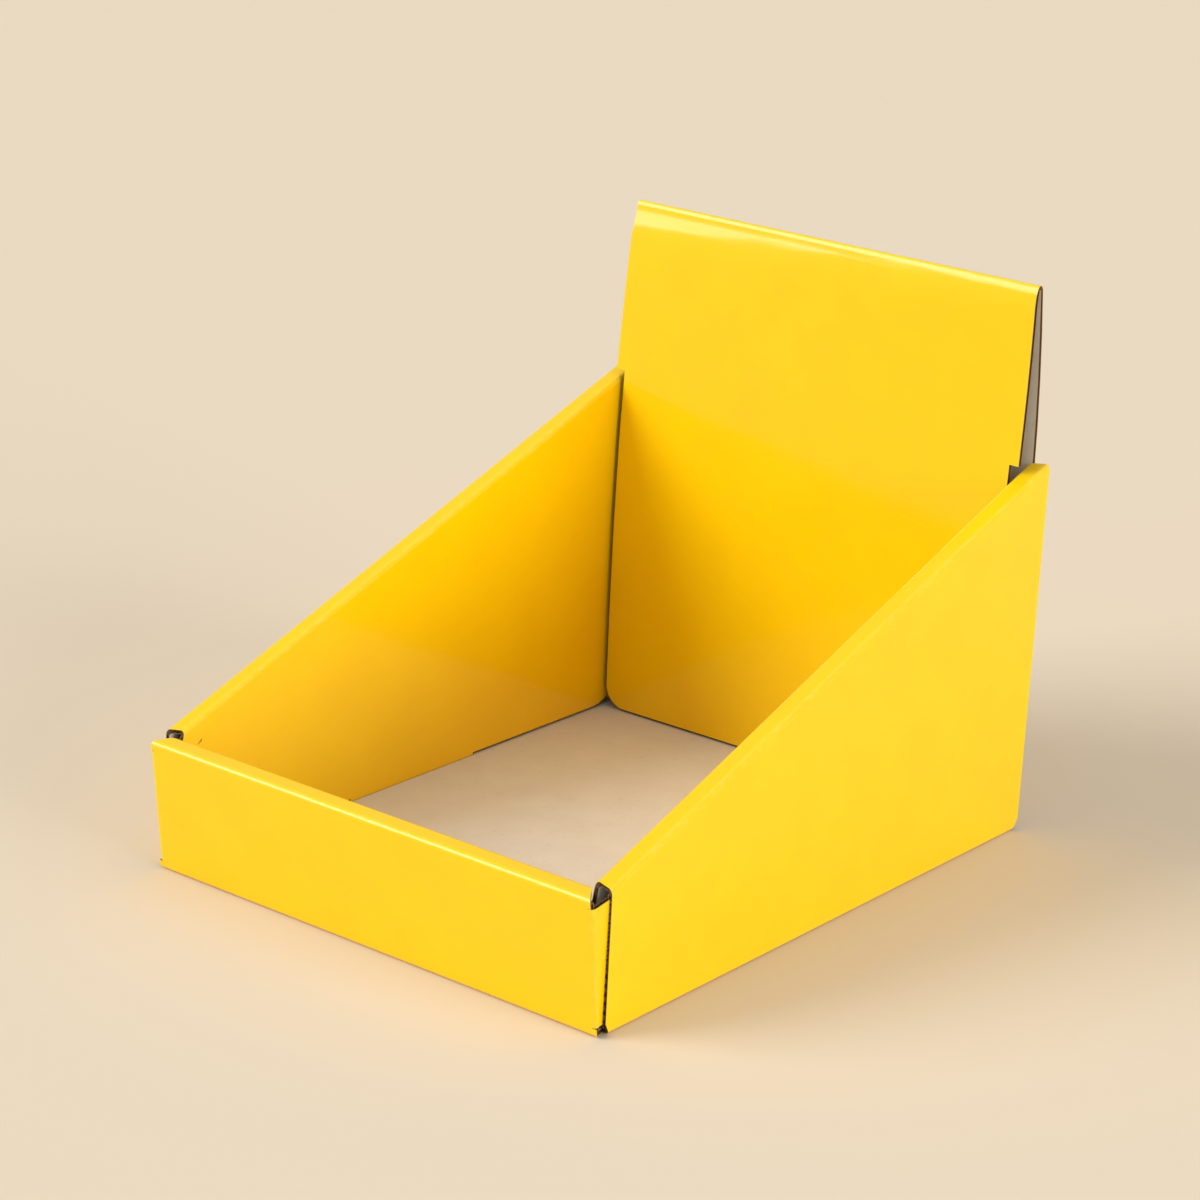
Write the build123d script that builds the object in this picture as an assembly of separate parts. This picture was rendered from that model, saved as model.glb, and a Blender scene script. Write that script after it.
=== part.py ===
from build123d import *
import math
import os

# Cardboard display stand: one die-cut corrugated blank, folded into a tray with a header.
# Millimetres. +X is the stand's right, +Y is its back, and the base lies on Z = 0.
# The printed side of the board faces outwards on every wall, and the bare side lines the tray.

# Overall sizes
tray_width = 200.0         # across the outer faces of the side walls
tray_depth = 252.0         # from the front crease to the back crease, at the floor
front_wall_height = 49.6   # up the front wall, along its slope
side_front_height = 50.2   # top of the side walls at their front end
side_rear_height = 142.2   # top of the side walls at their rear end
header_height = 209.4      # top of the header above the floor

# Board and folds
board = 1.8                # thickness of the corrugated board
crease_radius = 0.4        # inside a fold
clearance = 0.3            # between board and board where one tucks beside the other

# Hollow side walls
side_wall_thickness = 8.2  # across the rolled-over wall, print to print
side_setback = 3.2         # front edge of the outer panel behind the front crease
inner_setback = 7.0        # front edge of the inner panel behind the front crease
side_tab_length = 70.0     # lock tab under the inner panel, in its slot in the base
panel_lift = 1.0           # lower edge of an inner panel above the base, beside its tabs
inner_corner_radius = 14.0  # lower rear corner of the inner panel

# Hollow front wall
front_lean = 7.0           # degrees that the front wall leans outwards
front_wall_thickness = 8.0
front_tab_length = 36.0
front_tab_spacing = 100.0  # between the centres of the two lock tabs

# Back and header
header_inset = 6.3         # header's side edge inside the outer face of the side wall
header_lean = 1.5          # degrees that the header leans forwards above the side walls
header_bend_radius = 60.0  # easy bend where that lean starts
header_fold_gap = 0.9      # between the two layers, inside the fold at the header's top
back_wall_thickness = 10.5 # back face to the front layer's face, at the floor
back_shoulder_drop = 4.0   # shoulders of the back layer below the side walls' rear end
front_shoulder_rise = 0.5  # shoulders of the front layer above the side walls' rear end
front_layer_gap = 2.0      # between the front layer's narrow part and the inner side panel
front_layer_corner = 9.0   # radius of the narrow part's lower corners

# Flaps tucked into the hollow side walls
front_flap_length = 42.0
back_flap_length = 45.0
back_flap_height = 95.0
flap_relief = 3.0          # flap's edges in from the ends of the crease that carries it

# Worked out from the sizes above
fold_radius = board + crease_radius
fold_thickness = 2 * board + header_fold_gap
half_width = tray_width / 2
front_y = -tray_depth / 2
back_y = tray_depth / 2
side_front_y = front_y + side_setback
inner_face = half_width - side_wall_thickness
tucked_face = half_width - board - clearance
panel_foot = board + panel_lift
base_overlap = 4 * fold_radius
lean = math.radians(front_lean)
side_slope = math.atan2(side_rear_height - side_front_height, back_y - side_front_y)

# Planes for outlines, each with its normal along the creases that it cuts
along_x = Plane(origin=(0, 0, 0), x_dir=(0, 1, 0), z_dir=(1, 0, 0))
along_y = Plane(origin=(0, 0, 0), x_dir=(-1, 0, 0), z_dir=(0, 1, 0))
along_slope = Plane(
    origin=(0, side_front_y, side_front_height),
    x_dir=(1, 0, 0),
    z_dir=(0, math.cos(side_slope), math.sin(side_slope)),
)
along_lean = Plane(
    origin=(0, front_y, 0),
    x_dir=(1, 0, 0),
    z_dir=(0, -math.sin(lean), math.cos(lean)),
)


def mitred(points, distance):
    # a line's points moved to its left by a distance, with the corners mitred
    vectors = [Vector(*point) for point in points]
    runs = [(b - a).normalized() for a, b in zip(vectors, vectors[1:])]
    normals = [Vector(-run.Y, run.X) for run in runs]
    moved = [vectors[0] + normals[0] * distance]
    for corner, before, after in zip(vectors[1:-1], normals, normals[1:]):
        moved.append(corner + (before + after) * (distance / (1 + before.dot(after))))
    moved.append(vectors[-1] + normals[-1] * distance)
    return moved


def folded_board(plane, printed_points, radii, low, high):
    # board folded along its printed line, with its thickness to the left of that line
    liner_radii = [radius - board for radius in radii]
    printed = FilletPolyline(*printed_points, radius=radii)
    liner = FilletPolyline(*mitred(printed_points, board), radius=liner_radii)
    ends = [Line(printed @ 0, liner @ 0), Line(printed @ 1, liner @ 1)]
    section = make_face(printed.edges() + liner.edges() + ends)
    return extrude(plane.offset(low) * section, amount=high - low)


def prism(plane, points, low, high):
    # straight-sided block between two offsets of its outline's plane
    section = make_face(Polyline(*points, close=True))
    return extrude(plane.offset(low) * section, amount=high - low)


def on_both_sides(piece):
    return piece + mirror(piece, about=Plane.YZ)


def slope_height(y):
    # height of a side wall's top crease at a distance along the tray
    return side_front_height + (y - side_front_y) * math.tan(side_slope)


def lean_point(inward, up):
    # a point of the front wall's section, from the front crease, across and up the wall
    y = front_y + inward * math.cos(lean) - up * math.sin(lean)
    return (y, inward * math.sin(lean) + up * math.cos(lean))


def lean_length(inward, height):
    # how far up the wall's slope a height above the floor lies
    return (height - inward * math.sin(lean)) / math.cos(lean)


def base_and_side_feet():
    # the base between the two bottom creases, with the foot of each side wall
    foot = fold_radius + board
    points = [(-half_width, foot), (-half_width, 0), (half_width, 0), (half_width, foot)]
    low = side_front_y + fold_radius
    return folded_board(along_y, points, [fold_radius] * 2, low, back_y - fold_radius)


def outer_side_outline():
    # side view of the outer side panel, carried past its top crease
    past = side_wall_thickness
    return [
        (side_front_y, fold_radius),
        (back_y, fold_radius),
        (back_y, slope_height(back_y) + past),
        (side_front_y, slope_height(side_front_y) + past),
    ]


def inner_side_outline():
    # side view of the inner side panel with its lock tab, carried past its top crease
    past = side_wall_thickness
    half_tab = side_tab_length / 2
    front = side_front_y
    rear = back_y - board - clearance
    return [
        (front, panel_foot),
        (-half_tab, panel_foot),
        (-half_tab, clearance),
        (half_tab, clearance),
        (half_tab, panel_foot),
        (rear, panel_foot),
        (rear, slope_height(rear) + past),
        (front, slope_height(front) + past),
    ]


def inner_corner_cut():
    # what the round lower rear corner of the inner side panel leaves out
    rear = back_y - board - clearance
    radius = inner_corner_radius
    block = prism(
        along_x,
        [
            (rear - radius, panel_foot - board),
            (rear + board, panel_foot - board),
            (rear + board, panel_foot + radius),
            (rear - radius, panel_foot + radius),
        ],
        inner_face - board,
        inner_face + fold_radius,
    )
    centre = along_x.offset(inner_face) * Pos(rear - radius, panel_foot + radius)
    return block - centre * Cylinder(radius, 4 * side_wall_thickness)


def mitre_cut():
    # the strip's front end runs back to the inner panel, which starts behind the outer one
    front = side_front_y - board
    inner_front = front_y + inner_setback
    outline = [
        (inner_face - board, front),
        (half_width - board, front),
        (half_width - board, side_front_y),
        (inner_face + board, inner_front),
        (inner_face - board, inner_front),
    ]
    return prism(Plane.XY, outline, 0, side_rear_height)


def rolled_side():
    # right side wall above its foot: outer panel, sloping top strip and inner panel
    depth = 2 * side_rear_height
    length = 2 * (tray_depth + side_rear_height)
    points = [(inner_face, depth), (inner_face, 0), (half_width, 0), (half_width, depth)]
    roll = folded_board(along_slope, points, [fold_radius] * 2, -length / 2, length / 2)
    middle = half_width - side_wall_thickness / 2
    outer_zone = prism(along_x, outer_side_outline(), middle, half_width + board)
    inner_zone = prism(along_x, inner_side_outline(), inner_face - board, middle)
    return (roll & (outer_zone + inner_zone)) - inner_corner_cut() - mitre_cut()


def rolled_front():
    # front wall: outer panel, top strip and inner panel, with the base behind its crease
    top = front_wall_height
    across = front_wall_thickness
    points = [
        lean_point(across, lean_length(across, panel_foot)),
        lean_point(across, top),
        lean_point(0, top),
        (front_y, 0),
        (front_y + base_overlap, 0),
    ]
    return folded_board(along_x, points, [fold_radius] * 3, -tucked_face, tucked_face)


def front_corner_cut():
    # the strip narrows, and the inner panel passes between the inner side panels
    inner_half = inner_face - clearance
    outline = [
        (tucked_face, fold_radius),
        (tucked_face + board, fold_radius),
        (tucked_face + board, front_wall_thickness + board),
        (inner_half, front_wall_thickness + board),
        (inner_half, front_wall_thickness - fold_radius),
    ]
    base_slab = Pos(0, front_y, 0) * Box(tray_width, tray_depth, 2 * board)
    return prism(along_lean, outline, 0, 2 * front_wall_height) - base_slab


def front_flaps():
    # corner flaps that fold back from the front wall into the hollow side walls
    strip_underside = side_front_height - board / math.cos(side_slope)
    rise = (side_setback + front_wall_height * math.sin(lean) + board) * math.tan(lean)
    under_strip = (strip_underside - clearance - rise) / math.cos(lean)
    top = min(front_wall_height - flap_relief, under_strip)
    points = [
        (-tucked_face, front_flap_length),
        (-tucked_face, 0),
        (tucked_face, 0),
        (tucked_face, front_flap_length),
    ]
    return folded_board(along_lean, points, [fold_radius] * 2, fold_radius + flap_relief, top)


def front_tab(centre):
    # lock tab under the front wall's inner panel
    across = front_wall_thickness
    foot = lean_length(across, clearance)
    points = [
        lean_point(across, foot + base_overlap),
        lean_point(across, foot),
        lean_point(across - board, foot),
        lean_point(across - board, foot + base_overlap),
    ]
    return prism(along_x, points, centre - front_tab_length / 2, centre + front_tab_length / 2)


def front_slot(centre):
    # slot in the base for that tab
    across = front_wall_thickness
    half_slot = front_tab_length / 2 + clearance
    points = [
        lean_point(across + clearance, -board),
        lean_point(across + clearance, 2 * board),
        lean_point(across - board - clearance, 2 * board),
        lean_point(across - board - clearance, -board),
    ]
    return prism(along_x, points, centre - half_slot, centre + half_slot)


def side_slot():
    # slot in the base for the right inner panel's lock tab
    across = board + 2 * clearance
    centre = inner_face + board / 2
    return Pos(centre, 0, board / 2) * Box(across, side_tab_length + 2 * clearance, 2 * board)


def back_and_header():
    # back panel, fold at the top of the header and front layer, with the base before its crease
    rise = header_height - side_rear_height
    top_y = back_y - rise * math.tan(math.radians(header_lean))
    points = [
        (back_y - base_overlap, 0),
        (back_y, 0),
        (back_y, side_rear_height),
        (top_y, header_height),
        (top_y - fold_thickness, header_height),
        (back_y - back_wall_thickness, panel_foot),
    ]
    radii = [fold_radius, header_bend_radius, fold_radius, fold_radius]
    return folded_board(along_x, points, radii, -tucked_face, tucked_face)


def back_layer_zone():
    # the back panel is wide between the side walls and narrower above them
    shoulder = side_rear_height - back_shoulder_drop
    header_half = half_width - header_inset
    past = header_height + board
    points = [
        (-tucked_face, -board),
        (tucked_face, -board),
        (tucked_face, shoulder),
        (header_half, shoulder),
        (header_half, past),
        (-header_half, past),
        (-header_half, shoulder),
        (-tucked_face, shoulder),
    ]
    return prism(along_y, points, back_y - 2 * board, back_y + board)


def front_layer_zone():
    # the front layer has shoulders over the side walls and passes down between them
    shoulder = side_rear_height + front_shoulder_rise
    header_half = half_width - header_inset
    narrow_half = inner_face - front_layer_gap
    past = header_height + board
    points = [
        (-narrow_half, panel_foot - clearance),
        (narrow_half, panel_foot - clearance),
        (narrow_half, shoulder),
        (header_half, shoulder),
        (header_half, past),
        (-header_half, past),
        (-header_half, shoulder),
        (-narrow_half, shoulder),
    ]
    zone = prism(along_y, points, back_y - 2 * back_wall_thickness, back_y - 2 * board)
    corners = zone.edges().filter_by(Axis.Y).group_by(Axis.Z)[0]
    return fillet(corners, front_layer_corner)


def base_zone():
    # the stretch of base that the back's fold starts from
    length = 2 * base_overlap
    return Pos(0, back_y - length / 2, 0) * Box(2 * tucked_face, length, 2 * board)


def back_flaps():
    # corner flaps that fold forwards from the back panel into the hollow side walls
    points = [
        (tucked_face, back_y - back_flap_length),
        (tucked_face, back_y),
        (-tucked_face, back_y),
        (-tucked_face, back_y - back_flap_length),
    ]
    low = fold_radius + flap_relief
    return folded_board(Plane.XY, points, [fold_radius] * 2, low, low + back_flap_height)


def display_stand():
    front_slots = [front_slot(side * front_tab_spacing / 2) for side in (-1, 1)]
    front_tabs = [front_tab(side * front_tab_spacing / 2) for side in (-1, 1)]
    front = rolled_front() - on_both_sides(front_corner_cut()) + front_flaps()
    zones = back_layer_zone() + front_layer_zone() + base_zone()
    back = (back_and_header() & zones) + back_flaps()
    base = base_and_side_feet() - on_both_sides(side_slot())
    stand = base + front + back + on_both_sides(rolled_side())
    stand = stand - front_slots + front_tabs
    box = stand.bounding_box()
    return Pos(0, -(box.min.Y + box.max.Y) / 2, 0) * stand


os.makedirs("parts", exist_ok=True)
stand = display_stand()
export_step(stand, "parts/display_stand.step")
print("display_stand", len(stand.solids()), "solid", stand.bounding_box())
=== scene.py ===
import math

import bmesh
import bpy
from mathutils import Matrix, Vector


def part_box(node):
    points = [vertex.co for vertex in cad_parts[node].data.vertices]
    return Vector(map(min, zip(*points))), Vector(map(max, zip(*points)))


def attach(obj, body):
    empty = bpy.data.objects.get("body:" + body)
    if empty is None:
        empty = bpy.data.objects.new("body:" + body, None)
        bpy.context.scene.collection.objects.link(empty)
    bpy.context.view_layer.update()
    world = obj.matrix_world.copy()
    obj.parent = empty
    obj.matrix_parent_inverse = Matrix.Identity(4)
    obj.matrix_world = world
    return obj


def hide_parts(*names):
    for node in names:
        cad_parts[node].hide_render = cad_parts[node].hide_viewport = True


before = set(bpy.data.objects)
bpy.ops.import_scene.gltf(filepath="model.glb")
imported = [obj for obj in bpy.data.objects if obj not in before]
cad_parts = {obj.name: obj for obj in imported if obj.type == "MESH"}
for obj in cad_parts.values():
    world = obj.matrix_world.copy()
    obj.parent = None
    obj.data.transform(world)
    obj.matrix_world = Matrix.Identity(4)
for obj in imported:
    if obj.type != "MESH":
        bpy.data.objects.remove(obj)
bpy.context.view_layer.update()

boxLow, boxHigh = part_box("display_stand")
mm = 0.001  # the blank is laid out and folded in millimetres, and scaled to metres at the end
up = Vector((0, 0, 1))

# The corrugated board, from its printed face inwards
board = dict(
    thickness=1.8,
    liner=0.28,
    medium=0.16,
    flutePitch=3.2,
    fluteSteps=6,
    clearance=0.3,
    foldRadius=1.95,
    foldSegments=6,
    slit=0.15,
    slitEnd=0.1,  # a slit reaches this far past the fold
    crushedDepth=0.45,  # printed face to the crushed core inside a fold
    crushedCore=0.85,
)
finish = dict(print=0, bare=1, kraft=2, edge=3)  # order of the stand's materials
touching = 0.01  # mm: a corner this close to a line lies on it
seamAccuracy = 0.001  # mm: corners this close are one corner
cutAccuracy = 0.0001

halfWidth = boxHigh.x / mm
backFace = boxHigh.y / mm
headerTop = boxHigh.z / mm
tucked = halfWidth - board["thickness"] - board["clearance"]  # walls between the side walls
slitDepth = board["foldRadius"] + board["slitEnd"]

base = dict(depth=252.0, cornerInset=0.9, frontRelief=2.2, backRelief=3.2, panelLift=1.0)
side = dict(
    frontTop=50.8, rearTop=142.8, thickness=8.2, setback=3.2, innerSetback=5.2,
    halfTab=35.0, cornerRadius=14.0, footRung=4.4, slant=3.3, slantDrop=9.0,
)
front = dict(
    top=50.3, thickness=8.0, lean=6.88, tabs=(32.0, 68.0), flapLength=42.0, flapTop=46.6,
    topInset=0.9, flapRelief=1.6,
)
back = dict(shoulder=138.2, bottom=10.5, flapLength=45.0, flapHeight=95.0, flapRelief=3.0)
header = dict(
    inset=6.3, fold=4.5, shoulder=142.7, gap=2.0, cornerRadius=9.0,
    backRows=(0.25, 0.5, 0.75, 1),  # rows of corners that let each layer bend
    frontRows=(4, 8, 13, 19, 27, 38, 52),
    lowerRows=(0.2, 0.45, 0.7, 1),
)
panelFoot = board["thickness"] + base["panelLift"]

frontCrease = backFace - base["depth"]
trayMiddle = backFace - base["depth"] / 2
innerHalf = halfWidth - side["thickness"]
headerHalf = halfWidth - header["inset"]
layerHalf = innerHalf - header["gap"]
sideFront = frontCrease + side["setback"]
slope = math.atan2(side["rearTop"] - side["frontTop"], backFace - sideFront)

# The flat blank: its right half, printed face down on Z = 0

creases = []  # a point on each crease, the way its panel grows and how far it folds


def boundaryEdges(bm, test):
    return [e for e in bm.edges if e.is_boundary and all(test(v.co) for v in e.verts)]


def addCrease(bm, edges, outward, degrees):
    creases.append((edges[0].verts[0].co.copy(), Vector(outward), degrees))
    for e in edges:
        e[bm.edges.layers.int["crease"]] = len(creases)


def growPanel(bm, edges, place):
    # extrudes a row of edges into board and puts each new corner where place says
    grown = bmesh.ops.extrude_edge_only(bm, edges=edges)["geom"]
    corners = [item for item in grown if isinstance(item, bmesh.types.BMVert)]
    for v in corners:
        v.co.x, v.co.y = place(v.co.x, v.co.y)
        for e in v.link_edges:
            e[bm.edges.layers.int["crease"]] = 0
    return [e for e in bm.edges if e.is_boundary and all(v in corners for v in e.verts)]


def growTo(bm, edges, y):
    return growPanel(bm, edges, lambda x, _: (x, y))


def cutLine(bm, point, normal, within=lambda centre: True):
    faces = [f for f in bm.faces if within(f.calc_center_median())]
    edges = list(dict.fromkeys(e for f in faces for e in f.edges))
    verts = list(dict.fromkeys(v for f in faces for v in f.verts))
    bmesh.ops.bisect_plane(
        bm, geom=verts + edges + faces, plane_co=point, plane_no=normal, dist=cutAccuracy
    )


def cutOut(bm, within):
    gone = [f for f in bm.faces if within(f.calc_center_median())]
    bmesh.ops.delete(bm, geom=gone, context="FACES")


def roundCorner(bm, x, y, radius):
    spot = Vector((x, y, 0))
    corner = min(bm.verts, key=lambda v: (v.co - spot).length)
    bmesh.ops.bevel(
        bm, geom=[corner], offset=radius, offset_type="OFFSET", affect="VERTICES",
        segments=6, profile=0.5, clamp_overlap=False, material=-1,
    )


def layBase(bm):
    inset = tucked - base["cornerInset"]
    footFront = sideFront + base["frontRelief"]
    footRear = backFace - base["backRelief"]
    outline = [
        (0, frontCrease), (tucked, frontCrease), (inset, footFront), (halfWidth, footFront),
        (halfWidth, footRear), (inset, footRear), (tucked, backFace), (0, backFace),
    ]
    bm.faces.new([bm.verts.new((x, y, 0)) for x, y in outline])
    for x in (*front["tabs"], layerHalf, headerHalf, tucked - slitDepth):
        cutLine(bm, (x, 0, 0), (1, 0, 0))
    for y in (footFront, footRear, trayMiddle - side["halfTab"], trayMiddle + side["halfTab"]):
        cutLine(bm, (0, y, 0), (0, 1, 0), lambda centre: centre.x > layerHalf)


def cutSlots(bm):
    # slots in the base, a little larger than the lock tabs that drop into them
    slack = board["clearance"]
    inner, outer = innerHalf - slack, innerHalf + board["thickness"] + slack
    reach = side["halfTab"] + slack

    def besideTab(centre):
        return layerHalf < centre.x < tucked and abs(centre.y - trayMiddle) < reach

    for y in (trayMiddle - reach, trayMiddle + reach):
        cutLine(bm, (0, y, 0), (0, 1, 0), lambda c: layerHalf < c.x < headerHalf + slack)
    for x in (inner, outer):
        cutLine(bm, (x, 0, 0), (1, 0, 0), besideTab)
    cutOut(bm, lambda c: inner < c.x < outer and abs(c.y - trayMiddle) < reach)
    near = frontCrease + front["thickness"] - board["thickness"] - slack
    far = frontCrease + front["thickness"] + slack
    first, last = front["tabs"]
    for y in (near, far):
        cutLine(bm, (0, y, 0), (0, 1, 0), lambda c: c.x < layerHalf)
    for x in (first - slack, last + slack):
        cutLine(bm, (x, 0, 0), (1, 0, 0), lambda c: near < c.y < far)
    cutOut(bm, lambda c: first - slack < c.x < last + slack and near < c.y < far)


def growSide(bm):
    # outer panel, sloping top strip and inner panel with its lock tab
    hinge = Vector((halfWidth + side["frontTop"], sideFront, 0))
    along = Vector((math.sin(slope), math.cos(slope), 0))
    outward = Vector((math.cos(slope), -math.sin(slope), 0))
    footFront = sideFront + base["frontRelief"]
    footRear = backFace - base["backRelief"]
    innerFront = frontCrease + side["innerSetback"]
    innerRear = backFace - board["thickness"] - board["clearance"]

    def topHeight(depth):
        return side["frontTop"] + (depth - sideFront) * math.tan(slope)

    def foldedDepth(x, y, past):
        # how far back a point lies once folded, past the crease by so much
        return sideFront + (Vector((x, y, 0)) - hinge).dot(along) * math.cos(slope) + past * math.sin(slope)

    def innerPlace(depth, height):
        # where a point of the folded inner panel lies in the flat blank
        offset = Vector((halfWidth + height, depth, 0)) - hinge
        spot = hinge + along * offset.dot(along) + outward * (side["thickness"] - offset.dot(outward))
        return spot.x, spot.y

    def squared(x, y):
        ends = {round(footFront, 3): sideFront, round(footRear, 3): backFace}
        return halfWidth + side["footRung"], ends.get(round(y, 3), y)

    def toStrip(x, y):
        depth = min(max(y, innerFront), innerRear)
        return innerPlace(depth, topHeight(depth))

    def toSlant(x, y):
        # the front edge slants forwards below the crease, into the hollow front corner
        depth = foldedDepth(x, y, 0)
        reach = side["slant"] if abs(depth - innerFront) < touching else 0
        depth -= reach
        return innerPlace(depth, topHeight(depth) - side["slantDrop"])

    def toFoot(x, y):
        past = (Vector((x, y, 0)) - hinge).dot(outward) - side["thickness"]
        return innerPlace(foldedDepth(x, y, past), panelFoot)

    def toTab(x, y):
        past = (Vector((x, y, 0)) - hinge).dot(outward) - side["thickness"]
        return innerPlace(foldedDepth(x, y, past), board["clearance"])

    def tabDepth(v):
        past = (v.co - hinge).dot(outward) - side["thickness"]
        return foldedDepth(v.co.x, v.co.y, past)

    row = boundaryEdges(bm, lambda co: abs(co.x - halfWidth) < touching)
    addCrease(bm, row, (1, 0, 0), 90)
    row = growPanel(bm, row, squared)
    row = growPanel(bm, row, lambda x, y: (halfWidth + topHeight(y), y))
    addCrease(bm, row, outward, 90)
    row = growPanel(bm, row, toStrip)
    addCrease(bm, row, outward, 90)
    row = growPanel(bm, row, toSlant)
    row = growPanel(bm, row, toFoot)
    reach = side["halfTab"] + touching
    tab = [e for e in row if all(abs(tabDepth(v) - trayMiddle) < reach for v in e.verts)]
    growPanel(bm, tab, toTab)
    roundCorner(bm, *innerPlace(innerRear, panelFoot), side["cornerRadius"])


def addFlap(bm, crease, grow, foot, top, length):
    # a flap on the right edge of a wall, between two distances from the wall's crease
    slit = board["slit"]

    def atWallEdge(centre):
        return tucked - slitDepth < centre.x < halfWidth and (centre.y - crease) * grow > 0

    for distance in (foot - slit, foot, top, top + slit):
        cutLine(bm, (0, crease + grow * distance, 0), (0, 1, 0), atWallEdge)
    for distance in (foot - slit / 2, top + slit / 2):
        cutOut(bm, lambda c: atWallEdge(c) and abs((c.y - crease) * grow - distance) < slit / 2)
    ends = sorted((crease + grow * foot, crease + grow * top))
    row = boundaryEdges(
        bm, lambda co: abs(co.x - tucked) < touching and ends[0] - touching < co.y < ends[1] + touching
    )
    addCrease(bm, row, (1, 0, 0), 90)
    growPanel(bm, row, lambda x, y: (tucked + length, y))


def growFront(bm):
    # outer panel with its flap, top strip, and inner panel with its lock tabs
    lean = math.radians(front["lean"])
    across = front["thickness"]
    firstTab, lastTab = front["tabs"]
    innerFrontHalf = innerHalf - board["clearance"]

    def upSlope(height):
        return (height - across * math.sin(lean)) / math.cos(lean)

    def narrowed(x, half, was):
        return lastTab + (x - lastTab) * (half - lastTab) / (was - lastTab) if x > lastTab else x

    def toSlit(x, y):
        return narrowed(x, tucked - front["topInset"], tucked), y - board["slit"]

    def toStrip(x, y):
        inset = tucked - front["topInset"]
        return narrowed(x, innerFrontHalf, inset), frontCrease - front["top"] - across

    row = boundaryEdges(bm, lambda co: abs(co.y - frontCrease) < touching)
    addCrease(bm, row, (0, -1, 0), 90 - front["lean"])
    row = growTo(bm, row, frontCrease - front["flapTop"])
    row = growPanel(bm, row, toSlit)
    row = growTo(bm, row, frontCrease - front["top"])
    addCrease(bm, row, (0, -1, 0), 90)
    row = growPanel(bm, row, toStrip)
    addCrease(bm, row, (0, -1, 0), 90)
    foot = frontCrease - 2 * front["top"] - across
    row = growTo(bm, row, foot + upSlope(panelFoot))
    tab = [e for e in row if all(firstTab - touching < v.co.x < lastTab + touching for v in e.verts)]
    growTo(bm, tab, foot + upSlope(board["clearance"]))
    flapFoot = board["foldRadius"] + front["flapRelief"]
    addFlap(bm, frontCrease, -1, flapFoot, front["flapTop"], front["flapLength"])


def growBack(bm):
    # back panel with its flap, header, fold and the front layer that comes down inside
    top = backFace + headerTop
    fold = top + header["fold"]
    drop = headerTop - panelFoot
    layerLean = math.atan2(back["bottom"] - header["fold"], drop)
    shoulder = fold + (headerTop - header["shoulder"]) / math.cos(layerLean)
    bottom = fold + drop / math.cos(layerLean)

    def inside(edges, half):
        return [e for e in edges if all(v.co.x < half + touching for v in e.verts)]

    row = boundaryEdges(bm, lambda co: abs(co.y - backFace) < touching and co.x < halfWidth - touching)
    addCrease(bm, row, (0, 1, 0), 90)
    row = inside(growTo(bm, row, backFace + back["shoulder"]), headerHalf)
    rise = headerTop - back["shoulder"]
    for share in header["backRows"]:
        row = growTo(bm, row, backFace + back["shoulder"] + rise * share)
    addCrease(bm, row, (0, 1, 0), 90)
    row = growTo(bm, row, fold)
    addCrease(bm, row, (0, 1, 0), 90 - math.degrees(layerLean))
    for distance in header["frontRows"]:
        row = growTo(bm, row, fold + distance)
    row = inside(growTo(bm, row, shoulder), layerHalf)
    for share in header["lowerRows"]:
        row = growTo(bm, row, shoulder + (bottom - shoulder) * share)
    roundCorner(bm, layerHalf, bottom, header["cornerRadius"])
    flapFoot = board["foldRadius"] + back["flapRelief"]
    addFlap(bm, backFace, 1, flapFoot, flapFoot + back["flapHeight"], back["flapLength"])


def foldUp(bm, number):
    # turns everything beyond a crease towards the bare side
    point, outward, degrees = creases[number - 1]
    layer = bm.edges.layers.int["crease"]
    found = {}
    waiting = [
        f for e in bm.edges if e[layer] == number for f in e.link_faces
        if (f.calc_center_median() - point).dot(outward) > 0
    ]
    while waiting:
        face = waiting.pop()
        if face in found:
            continue
        found[face] = True
        waiting += [f for e in face.edges if e[layer] != number for f in e.link_faces]
    verts = list(dict.fromkeys(v for f in found for v in f.verts))
    turn = Matrix.Rotation(math.radians(degrees), 3, outward.cross(up))
    bmesh.ops.rotate(bm, cent=point, matrix=turn, verts=verts)


def foldedSheet():
    # the printed surface of the whole folded stand, with its flat layout as a UV map
    bm = bmesh.new()
    crease = bm.edges.layers.int.new("crease")
    flat = bm.verts.layers.float_vector.new("flat")
    bm.verts.layers.float.new("wear")
    bm.faces.layers.int.new("bend")
    layout = bm.loops.layers.uv.new("layout")
    layBase(bm)
    growSide(bm)
    growFront(bm)
    growBack(bm)
    cutSlots(bm)
    for v in bm.verts:
        v[flat] = v.co
    for number in range(len(creases), 0, -1):
        foldUp(bm, number)
    everything = bm.verts[:] + bm.edges[:] + bm.faces[:]
    bmesh.ops.mirror(bm, geom=everything, matrix=Matrix.Identity(4), merge_dist=seamAccuracy, axis="X")
    for face in bm.faces:
        sign = math.copysign(1, face.calc_center_median().x)
        for loop in face.loops:
            x, y, _ = loop.vert[flat]
            loop[layout].uv = (sign * x * mm, y * mm)
    bmesh.ops.recalc_face_normals(bm, faces=bm.faces[:])
    lowest = min(bm.faces, key=lambda f: f.calc_center_median().z)
    if lowest.normal.z > 0:
        bmesh.ops.reverse_faces(bm, faces=bm.faces[:])
    bend = bmesh.ops.bevel(
        bm, geom=[e for e in bm.edges if e[crease] > 0], offset=board["foldRadius"],
        offset_type="OFFSET", segments=board["foldSegments"], profile=0.5, affect="EDGES",
        clamp_overlap=False, material=-1, loop_slide=True,
    )["faces"]
    markBends(bm, bend)
    return bm


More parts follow.
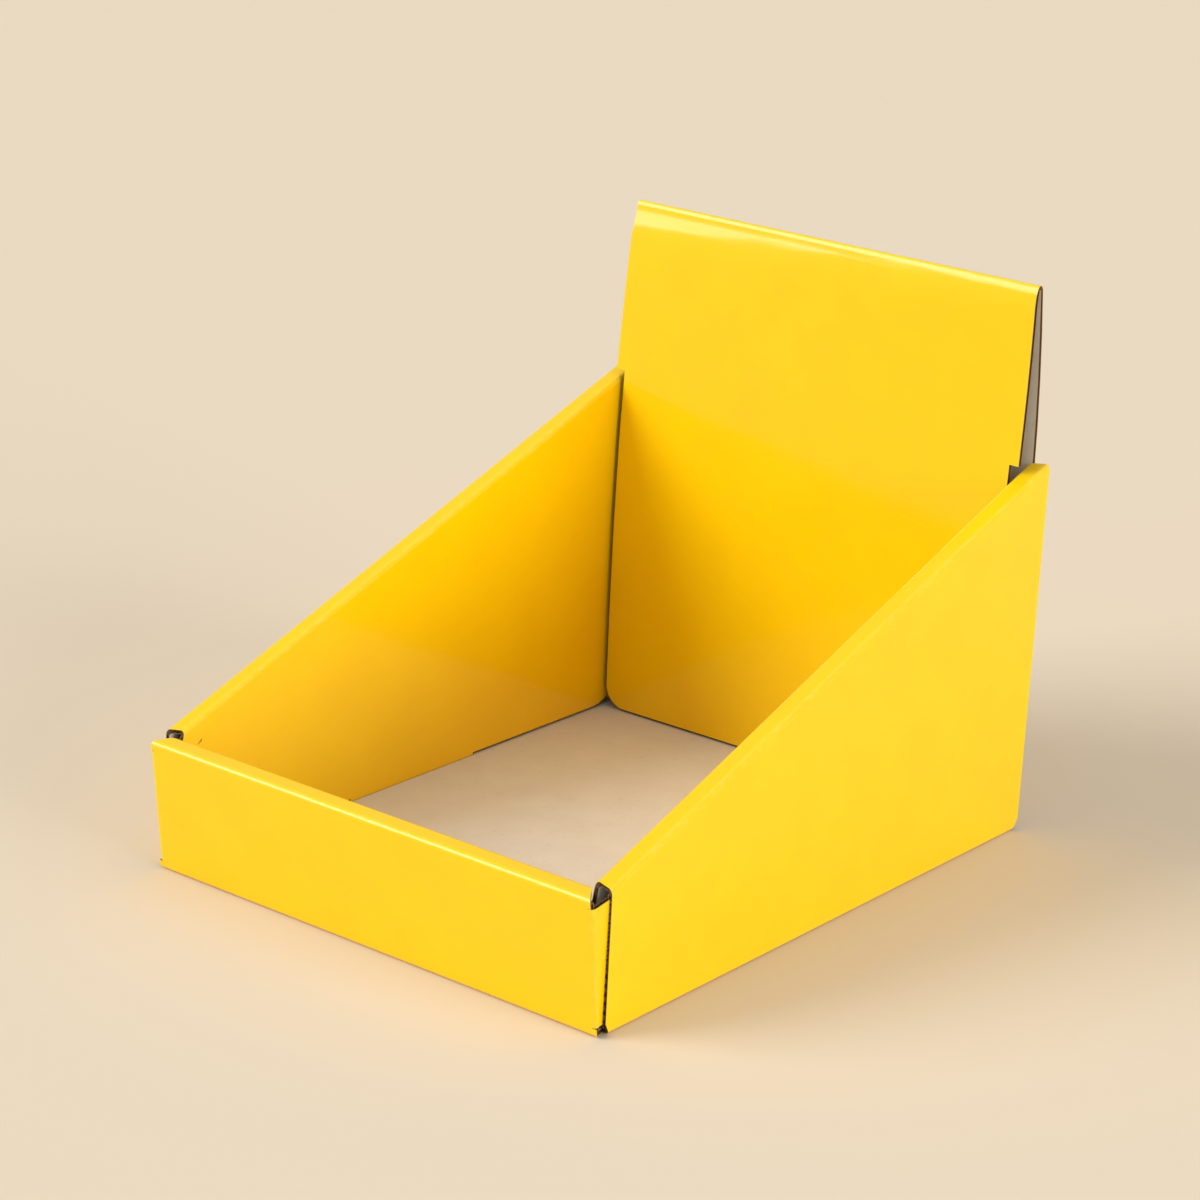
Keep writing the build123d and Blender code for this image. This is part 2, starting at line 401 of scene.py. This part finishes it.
def markBends(bm, bend):
    bendLayer = bm.faces.layers.int["bend"]
    wear = bm.verts.layers.float["wear"]
    for face in bend:
        face[bendLayer] = 1
    # the crease mark is 0 at the edge of a bend and 1 along its middle; it places worn print together with
    # a painted highlight along the rounded fold
    ring = {v: 0 for v in bm.verts if not all(f[bendLayer] for f in v.link_faces)}
    for number in range(1, board["foldSegments"] // 2 + 1):
        for v in [v for v in bm.verts if v not in ring]:
            if any(ring.get(e.other_vert(v)) == number - 1 for e in v.link_edges):
                ring[v] = number
    for v, number in ring.items():
        v[wear] = number / (board["foldSegments"] // 2)


def offsetInwards(bm, depth):
    bm.normal_update()
    moves = [(v, v.normal * (v.calc_shell_factor() * depth)) for v in bm.verts]
    for v, move in moves:
        v.co -= move


def thicken(bm, thickness, outerFinish, innerFinish, edgeFinish):
    # gives a paper its thickness inwards, with a finish for each face and for its cut edges
    outer = set(bm.verts)
    bmesh.ops.solidify(bm, geom=bm.faces[:], thickness=thickness)
    for face in bm.faces:
        onOuter = sum(v in outer for v in face.verts)
        if onOuter == len(face.verts):
            face.material_index = outerFinish
        else:
            face.material_index = edgeFinish if onOuter else innerFinish


def addTo(whole, part):
    mesh = bpy.data.meshes.new("paper")
    part.to_mesh(mesh)
    whole.from_mesh(mesh)
    bpy.data.meshes.remove(mesh)


def crushedCore(sheet):
    # inside a fold the medium is crushed to a plain brown layer
    core = sheet.copy()
    bend = core.faces.layers.int["bend"]
    flatFaces = [f for f in core.faces if not f[bend]]
    bmesh.ops.delete(core, geom=flatFaces, context="FACES")
    offsetInwards(core, board["crushedDepth"])
    thicken(core, board["crushedCore"], finish["kraft"], finish["kraft"], finish["kraft"])
    return core


def layoutMatrix(face, layout):
    # carries a point of the flat layout, with its height over the face, into the folded stand
    first = face.loops[0]
    rest = face.loops[1:]

    def spread(pair):
        a, b = (loop[layout].uv - first[layout].uv for loop in pair)
        return abs(a.cross(b))

    pairs = [(a, b) for i, a in enumerate(rest) for b in rest[i + 1:]]
    pair = max(pairs, key=spread)
    a, b = ((loop[layout].uv - first[layout].uv) / mm for loop in pair)
    p, q = (loop.vert.co - first.vert.co for loop in pair)
    area = a.cross(b)
    acrossX = (p * b.y - q * a.y) / area
    acrossY = (q * a.x - p * b.x) / area
    start = first[layout].uv / mm
    origin = first.vert.co - acrossX * start.x - acrossY * start.y
    turn = Matrix((acrossX, acrossY, face.normal)).transposed().to_4x4()
    return Matrix.Translation(origin) @ turn


def flutedPatch(face, layout):
    # the wavy medium inside one flat face, cut to the face's outline
    points = [loop[layout].uv / mm for loop in face.loops]
    middle = sum(points, Vector((0, 0))) / len(points)
    step = board["flutePitch"] / board["fluteSteps"]
    first = math.floor(min(p.x for p in points) / step)
    last = math.ceil(max(p.x for p in points) / step)
    nearY = min(p.y for p in points)
    farY = max(p.y for p in points)
    centre = board["thickness"] / 2
    swing = (board["thickness"] - 2 * board["liner"] - board["medium"]) / 2
    bm = bmesh.new()
    bmesh.ops.create_grid(bm, x_segments=last - first, y_segments=1, size=0.5)
    for v in bm.verts:
        x = round(first + (v.co.x + 0.5) * (last - first)) * step
        wave = math.sin(2 * math.pi * x / board["flutePitch"])
        v.co = (x, nearY if v.co.y < 0 else farY, -centre + swing * wave)
    for a, b in zip(points, points[1:] + points[:1]):
        run = b - a
        if run.length < touching:
            continue
        normal = Vector((run.y, -run.x))
        if normal.dot(middle - a) > 0:
            normal.negate()
        bmesh.ops.bisect_plane(
            bm, geom=bm.verts[:] + bm.edges[:] + bm.faces[:], dist=cutAccuracy,
            plane_co=(*a, 0), plane_no=(*normal, 0), clear_outer=True,
        )
    if not bm.faces:
        return bm
    bmesh.ops.translate(bm, vec=(0, 0, board["medium"] / 2), verts=bm.verts[:])
    thicken(bm, board["medium"], finish["kraft"], finish["kraft"], finish["kraft"])
    own = bm.loops.layers.uv.new(layout.name)
    for patchFace in bm.faces:
        for loop in patchFace.loops:
            loop[own].uv = loop.vert.co.xy * mm
    bmesh.ops.transform(bm, matrix=layoutMatrix(face, layout), verts=bm.verts[:])
    bmesh.ops.recalc_face_normals(bm, faces=bm.faces[:])
    return bm


def corrugatedBoard(sheet):
    # printed liner, fluted medium and bare liner, each a thin solid of its own
    sheet.normal_update()
    layout = sheet.loops.layers.uv["layout"]
    bend = sheet.faces.layers.int["bend"]
    smallest = board["flutePitch"] / 2
    whole = sheet.copy()
    thicken(whole, board["liner"], finish["print"], finish["kraft"], finish["edge"])
    bare = sheet.copy()
    offsetInwards(bare, board["thickness"] - board["liner"])
    thicken(bare, board["liner"], finish["kraft"], finish["bare"], finish["edge"])
    addTo(whole, bare)
    addTo(whole, crushedCore(sheet))
    for face in sheet.faces:
        if not face[bend] and face.calc_area() > smallest:
            addTo(whole, flutedPatch(face, layout))
    loose = [v for v in whole.verts if not v.link_faces]
    bmesh.ops.delete(whole, geom=loose, context="VERTS")
    return whole


# How the folded stand has settled

give = dict(
    leanLeft=0.0,  # header's forward lean above the side walls, as a slope, at each side edge
    leanRight=0.10,
    leanStart=132.0,  # height above the floor where the lean starts
    shift=1.2,  # how far the header's fold stands to the right
    bowLeft=3.0,  # how far the front layer bows forwards, at each side edge
    bowRight=6.0,
    squeezeLeft=0.5,  # what is left of the header's thickness where its fold is pressed
    squeezeRight=0.7,
    pressedLeft=16.0,  # how far below the fold it is pressed
    pressedRight=6.0,
    leftRise=0.8,  # the left wall's front end stands a little higher and is pinched
    leftPinch=0.8,
    cornerBulge=1.3,  # the front wall's ends stand out in front of the side walls' edges
    bulgeStart=80.0,  # distance from the middle where the bulge starts
    bulgeSpan=15.0,
)


def smoothStep(value):
    value = min(max(value, 0), 1)
    return value * value * (3 - 2 * value)


def between(name, right):
    # a measure of how the board has settled, from the left edge to the right one
    return give[name + "Left"] + (give[name + "Right"] - give[name + "Left"]) * right


def settleHeader(v, climbed):
    # the header twists a little, its fold is pressed and its front layer bows out below
    right = (v.co.x / headerHalf + 1) / 2
    rise = headerTop - give["leanStart"]
    height = max(v.co.z - give["leanStart"], 0)
    lean = between("lean", right) * rise * 2 * smoothStep(height / rise / 2)
    pressed = between("pressed", right)
    share = smoothStep((v.co.z - headerTop + pressed) / pressed)
    squeeze = 1 - (1 - between("squeeze", right)) * share
    v.co.y = backFace - (backFace - v.co.y) * squeeze - lean
    v.co.x += give["shift"] * smoothStep(height / rise)
    below = climbed - headerTop - header["fold"]
    if below > 0:
        drop = headerTop - panelFoot
        v.co.y -= between("bow", right) * math.sin(math.pi * min(below / drop, 1))


def settleLeftWall(v):
    nearFront = 1 - (v.co.y - frontCrease) / base["depth"]
    nearTop = min(v.co.z / side["frontTop"], 1)
    inwards = (v.co.x + halfWidth) / side["thickness"]
    v.co.z += give["leftRise"] * nearFront * nearTop
    v.co.x -= give["leftPinch"] * nearFront * nearTop * inwards


def settleFrontEnds(v):
    outwards = smoothStep((abs(v.co.x) - give["bulgeStart"]) / give["bulgeSpan"])
    push = give["cornerBulge"] * outwards * smoothStep((sideFront - v.co.y) / side["setback"])
    v.co.x += math.copysign(push, v.co.x)


def keepInside(v):
    # no corner stands outside the box of the built stand
    x, y, z = v.co
    v.co = (
        min(max(x, boxLow.x / mm), halfWidth), min(max(y, boxLow.y / mm), backFace),
        min(max(z, boxLow.z / mm), headerTop),
    )


def settle(bm):
    layout = bm.loops.layers.uv["layout"]
    for v in bm.verts:
        x, y = v.link_loops[0][layout].uv / mm
        climbed = y - backFace
        if climbed > back["shoulder"] / 2 and abs(x) < tucked:
            settleHeader(v, climbed)
        elif x < -halfWidth and climbed < 0 and v.co.x > -halfWidth:
            settleLeftWall(v)
        settleFrontEnds(v)
        keepInside(v)


def finishMesh(name, bm, finishes):
    bmesh.ops.transform(bm, matrix=Matrix.Scale(mm, 4), verts=bm.verts[:])
    mesh = bpy.data.meshes.new(name)
    bm.to_mesh(mesh)
    bm.free()
    for material in finishes:
        mesh.materials.append(material)
    mesh.shade_smooth()
    mesh.set_sharp_from_angle(angle=math.radians(35))
    piece = bpy.data.objects.new(name, mesh)
    bpy.context.scene.collection.objects.link(piece)
    weighted = piece.modifiers.new("evenShading", "WEIGHTED_NORMAL")
    weighted.keep_sharp = True
    return piece


class Finish:
    # a material and its node tree, with short ways to add and join nodes
    def __init__(self, name):
        self.material = bpy.data.materials.new(name)
        self.material.use_nodes = True
        self.nodes = self.material.node_tree.nodes
        self.links = self.material.node_tree.links
        self.shader = self.nodes["Principled BSDF"]
        self.layout = self.add("ShaderNodeUVMap", uv_map="layout").outputs["UV"]
        self.place = self.add("ShaderNodeTexCoord").outputs["Object"]

    def add(self, kind, inputs=(), **settings):
        node = self.nodes.new(kind)
        for key, value in settings.items():
            setattr(node, key, value)
        for key, value in dict(inputs).items():
            if isinstance(value, bpy.types.NodeSocket):
                self.links.new(value, node.inputs[key])
            else:
                node.inputs[key].default_value = value
        return node

    def noise(self, vector, scale, detail=2, stretch=(1, 1, 1)):
        moved = self.add("ShaderNodeMapping", dict(Vector=vector, Scale=stretch)).outputs["Vector"]
        inputs = dict(Vector=moved, Scale=scale, Detail=detail)
        return self.add("ShaderNodeTexNoise", inputs).outputs["Fac"]

    def span(self, value, fromLow, fromHigh, toLow, toHigh):
        inputs = {
            "Value": value, "From Min": fromLow, "From Max": fromHigh, "To Min": toLow, "To Max": toHigh,
        }
        return self.add("ShaderNodeMapRange", inputs).outputs["Result"]

    def product(self, first, second):
        return self.add("ShaderNodeMath", {0: first, 1: second}, operation="MULTIPLY").outputs["Value"]

    def blend(self, share, first, second):
        # a Mix node in colour mode: its factor is socket 0 and its two colours are 6 and 7
        first, second = (c if isinstance(c, bpy.types.NodeSocket) else (*c, 1) for c in (first, second))
        return self.add("ShaderNodeMix", {0: share, 6: first, 7: second}, data_type="RGBA").outputs[2]

    def fluteMarks(self):
        # one wave for each flute, along the layout's X
        scale = math.tau / (20 * board["flutePitch"] * mm)  # the texture's own wave is tau / 20 long
        return self.add("ShaderNodeTexWave", dict(Vector=self.layout, Scale=scale)).outputs["Fac"]

    def bump(self, pattern, strength, height, normal=None):
        # height is in mm
        inputs = dict(Height=pattern, Strength=strength, Distance=height * mm)
        if normal:
            inputs["Normal"] = normal
        return self.add("ShaderNodeBump", inputs).outputs["Normal"]

    def apply(self, **values):
        for key, value in values.items():
            socket = self.shader.inputs[key.replace("_", " ")]
            if isinstance(value, bpy.types.NodeSocket):
                self.links.new(value, socket)
            else:
                socket.default_value = value


def glossPrint():
    look = dict(
        yellow=(0.95, 0.61, 0.0008), deeper=(0.93, 0.585, 0.0006), paleWearAndSheen=(0.97, 0.78, 0.22),
        clouds=45, wearAndSheenPatches=260, sway=14, pores=1400, smears=90,  # how fine each pattern is
        swayHeight=1.2, poreHeight=0.06, fluteHeight=0.05,  # in mm
        gloss=0.6, glossRoughness=0.09,
    )
    f = Finish("glossPrint")
    mottle = f.noise(f.layout, look["clouds"], 4)
    colour = f.blend(f.span(mottle, 0.3, 0.7, 0, 1), look["yellow"], look["deeper"])
    # along the middle of each bend the print turns paler: partly worn print, partly a painted highlight on
    # the rounded fold
    crease = f.add("ShaderNodeAttribute", attribute_name="wear").outputs["Fac"]
    patchy = f.span(f.noise(f.layout, look["wearAndSheenPatches"], 3), 0.45, 0.7, 0.05, 0.3)
    colour = f.blend(f.product(crease, patchy), colour, look["paleWearAndSheen"])
    washboard = f.bump(f.fluteMarks(), 0.25, look["fluteHeight"])
    swaying = f.noise(f.layout, look["sway"], 2, (1, 0.35, 1))
    ripple = f.bump(swaying, 0.5, look["swayHeight"], washboard)
    grain = f.bump(f.noise(f.layout, look["pores"], 3), 0.25, look["poreHeight"], ripple)
    rough = f.span(f.noise(f.layout, look["smears"], 3), 0.3, 0.7, 0.34, 0.44)
    f.apply(Base_Color=colour, Roughness=rough, Normal=grain, Specular_IOR_Level=0.1)
    f.apply(Coat_Weight=look["gloss"], Coat_Roughness=look["glossRoughness"], Coat_Normal=ripple)
    return f.material


def bareLiner():
    look = dict(
        paper=(0.75, 0.70, 0.625), shade=(0.71, 0.655, 0.58), fibre=(0.50, 0.44, 0.36),
        clouds=60, fibres=900, fibreHeight=0.08, fluteHeight=0.06,
    )
    f = Finish("bareLiner")
    cloudy = f.span(f.noise(f.layout, look["clouds"], 5), 0.3, 0.7, 0, 1)
    colour = f.blend(cloudy, look["paper"], look["shade"])
    fibres = f.noise(f.layout, look["fibres"], 4, (1, 0.25, 1))
    colour = f.blend(f.span(fibres, 0.62, 0.75, 0, 0.5), colour, look["fibre"])
    washboard = f.bump(f.fluteMarks(), 0.3, look["fluteHeight"])
    grain = f.bump(fibres, 0.35, look["fibreHeight"], washboard)
    rough = f.span(cloudy, 0, 1, 0.82, 0.92)
    f.apply(Base_Color=colour, Roughness=rough, Normal=grain, Specular_IOR_Level=0.25)
    return f.material


def kraftMedium():
    look = dict(
        brown=(0.17, 0.095, 0.042), darker=(0.10, 0.052, 0.022), clouds=500, pores=1800, poreHeight=0.08
    )
    f = Finish("kraftMedium")
    colour = f.blend(f.noise(f.place, look["clouds"], 3), look["brown"], look["darker"])
    grain = f.bump(f.noise(f.place, look["pores"], 2), 0.3, look["poreHeight"])
    f.apply(Base_Color=colour, Roughness=0.9, Normal=grain, Specular_IOR_Level=0.2)
    return f.material


def cutPaper():
    # the cut edges are coloured darker and warmer than cut liner paper is: partly the brown of the board's
    # core, partly painted shade and painted yellow bounce light of the narrow gaps beside them
    look = dict(pale=(0.36, 0.22, 0.08), dull=(0.22, 0.12, 0.04), clouds=700, pores=2200, poreHeight=0.05)
    f = Finish("cutPaper")
    colour = f.blend(f.noise(f.place, look["clouds"], 3), look["pale"], look["dull"])
    grain = f.bump(f.noise(f.place, look["pores"], 2), 0.3, look["poreHeight"])
    f.apply(Base_Color=colour, Roughness=0.88, Normal=grain, Specular_IOR_Level=0.2)
    return f.material


sheet = foldedSheet()
print("folded the blank:", len(sheet.faces), "faces")
paper = corrugatedBoard(sheet)
settle(paper)
foldedStand = finishMesh("foldedStand", paper, [glossPrint(), bareLiner(), kraftMedium(), cutPaper()])
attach(foldedStand, "root")
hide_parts("display_stand")
print("built the board:", len(foldedStand.data.polygons), "faces")


def makeFloor():
    look = dict(size=12.0, sand=(0.76, 0.648, 0.502), deeper=(0.755, 0.643, 0.497))
    bm = bmesh.new()
    bmesh.ops.create_grid(bm, x_segments=1, y_segments=1, size=look["size"])
    bm.loops.layers.uv.new("layout")
    floor = bpy.data.meshes.new("floor")
    bm.to_mesh(floor)
    bm.free()
    f = Finish("floorPaper")
    colour = f.blend(f.noise(f.place, 3, 2), look["sand"], look["deeper"])
    f.apply(Base_Color=colour, Roughness=0.95, Specular_IOR_Level=0.1)
    floor.materials.append(f.material)
    piece = bpy.data.objects.new("floor", floor)
    bpy.context.scene.collection.objects.link(piece)


def sun(name, azimuth, elevation, strength, width):
    # azimuth as the camera's: 0 shines from the front, and grows towards the right
    a, e = math.radians(azimuth), math.radians(elevation)
    towards = Vector((math.sin(a) * math.cos(e), -math.cos(a) * math.cos(e), math.sin(e)))
    light = bpy.data.lights.new(name, "SUN")
    light.energy = strength
    light.angle = math.radians(width)
    lamp = bpy.data.objects.new(name, light)
    lamp.rotation_euler = towards.to_track_quat("Z", "Y").to_euler()
    bpy.context.scene.collection.objects.link(lamp)


studio = dict(skyColour=(1.0, 0.985, 0.96, 1), sky=0.48)


def lightStudio():
    scene = bpy.context.scene
    world = bpy.data.worlds.new("studio")
    world.use_nodes = True
    sky = world.node_tree.nodes["Background"]
    sky.inputs["Color"].default_value = studio["skyColour"]
    sky.inputs["Strength"].default_value = studio["sky"]
    scene.world = world
    sun("leftSoftbox", azimuth=-42, elevation=28, strength=2.35, width=38)
    sun("rightSoftbox", azimuth=92, elevation=6, strength=2.9, width=44)
    sun("topSoftbox", azimuth=0, elevation=90, strength=0.4, width=60)
    scene.view_settings.view_transform = "Standard"


camera = dict(
    azimuth=37.766,  # degrees; distances are in metres
    elevation=18.111,
    roll=2.810,
    distance=1.20763,
    sideways=-0.00021,
    upwards=0.09052,
    lens=99.11,
)


def placeCamera():
    a, e, r = (math.radians(camera[key]) for key in ("azimuth", "elevation", "roll"))
    backwards = Vector((math.sin(a) * math.cos(e), -math.cos(a) * math.cos(e), math.sin(e)))
    right = Vector((math.cos(a), math.sin(a), 0))
    above = backwards.cross(right)
    right, above = right * math.cos(r) + above * math.sin(r), above * math.cos(r) - right * math.sin(r)
    lens = bpy.data.cameras.new("camera")
    lens.lens = camera["lens"]
    lens.sensor_width = 36
    eye = bpy.data.objects.new("camera", lens)
    bpy.context.scene.collection.objects.link(eye)
    middle = Vector((0, trayMiddle * mm, 0))
    eye.matrix_world = Matrix((right, above, backwards)).transposed().to_4x4()
    eye.location = (
        middle + right * camera["sideways"] + above * camera["upwards"] + backwards * camera["distance"]
    )
    bpy.context.scene.camera = eye


makeFloor()
lightStudio()
placeCamera()
print("set the studio")
